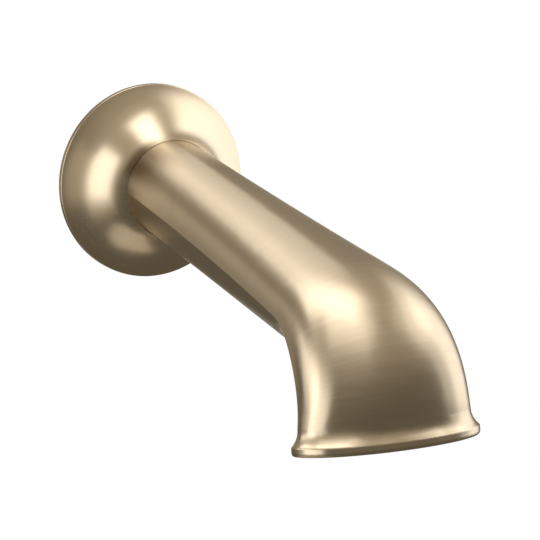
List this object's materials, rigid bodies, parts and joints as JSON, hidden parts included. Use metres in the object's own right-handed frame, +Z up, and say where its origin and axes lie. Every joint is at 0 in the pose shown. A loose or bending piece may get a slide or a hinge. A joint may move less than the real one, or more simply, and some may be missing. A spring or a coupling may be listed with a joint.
{
  "type": "bath spout",
  "caption": "Wall-mounted bath spout: a bell flange, a sloped tube with a crease along each side, and an elbow that flares into a wide downward mouth with a cove and lip.",
  "frame": {"origin": "centre of the pipe socket's mouth, which is the centre of the wall flange's back on the wall plane", "axes": "+Y into the wall, so the spout reaches out along -Y; +Z up; +X to the right of someone facing the wall"},
  "size_m": [0.07, 0.1879, 0.0868],
  "materials": {
    "brushed_bronze": "brushed satin champagne bronze",
    "plain_brass": "turned, unplated",
    "seal_rubber": "matt black",
    "screw_steel": "plain stainless"
  },
  "bodies": {
    "root": {"spout_body": "brushed_bronze", "wall_flange": "brushed_bronze", "flange_ring": "seal_rubber", "inlet_sleeve": "plain_brass", "pipe_seal": "seal_rubber", "set_screw": "screw_steel"}
  },
  "joints": []
}
